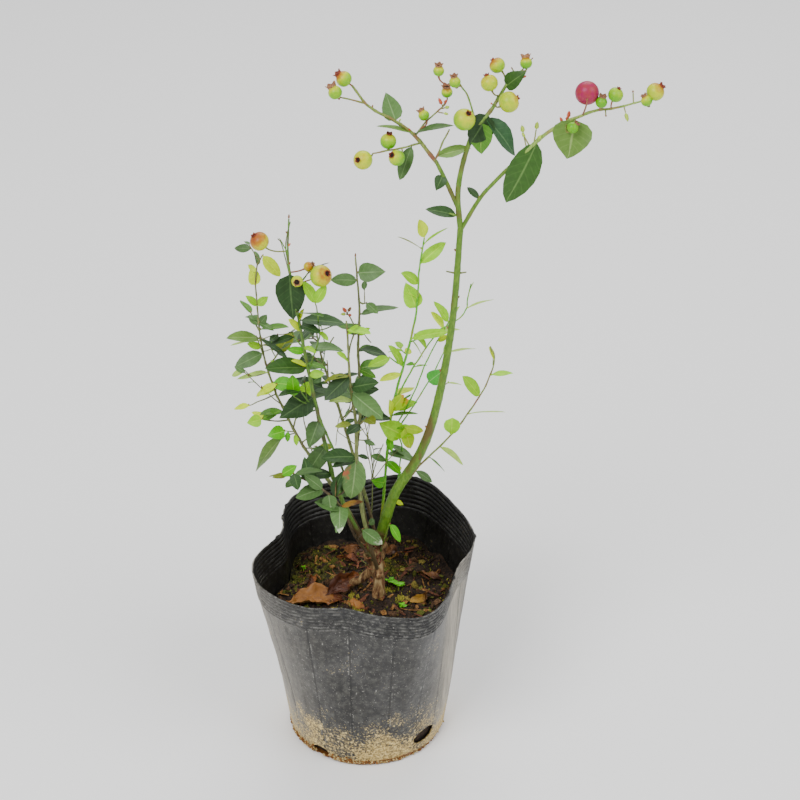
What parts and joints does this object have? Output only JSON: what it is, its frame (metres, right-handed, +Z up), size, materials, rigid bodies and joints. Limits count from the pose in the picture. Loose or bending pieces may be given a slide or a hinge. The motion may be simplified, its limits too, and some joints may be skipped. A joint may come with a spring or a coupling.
{
  "type": "potted blueberry bush",
  "caption": "Young fruiting blueberry bush in a soft film nursery pot: one tall arching cane, leafy low shoots on the left, ripening berries at the tips.",
  "frame": {"origin": "centre of the pot's flat underside", "axes": "+Z up along the plant, -Y towards the side the bush is seen from, +X towards the side its tall cane leans to"},
  "size_m": [0.2662, 0.1592, 0.4868],
  "materials": {
    "film": "satin",
    "soil": "matte",
    "bark": "matte",
    "green_bark": "satin",
    "foliage": "satin",
    "young_foliage": "satin"
  },
  "bodies": {
    "root": {"pot": "film", "soil": "soil", "trunk_foot": "bark", "main_cane": "green_bark", "bough_middle": "green_bark", "bough_left": "green_bark", "bough_right": "green_bark", "cane_left": "green_bark", "cane_outer": "green_bark", "cane_front": "green_bark", "cane_inner": "green_bark", "cane_centre": "green_bark", "cane_right": "green_bark", "cane_back": "green_bark", "spray_left": "foliage", "spray_middle": "foliage", "spray_right": "foliage", "leaf_fork": "foliage", "leaves_foot": "foliage", "foliage_left": "foliage", "foliage_outer": "foliage", "foliage_front": "foliage", "foliage_inner": "foliage", "foliage_back": "foliage", "foliage_low": "foliage", "shoot_centre": "young_foliage", "shoot_right": "young_foliage"}
  },
  "joints": []
}
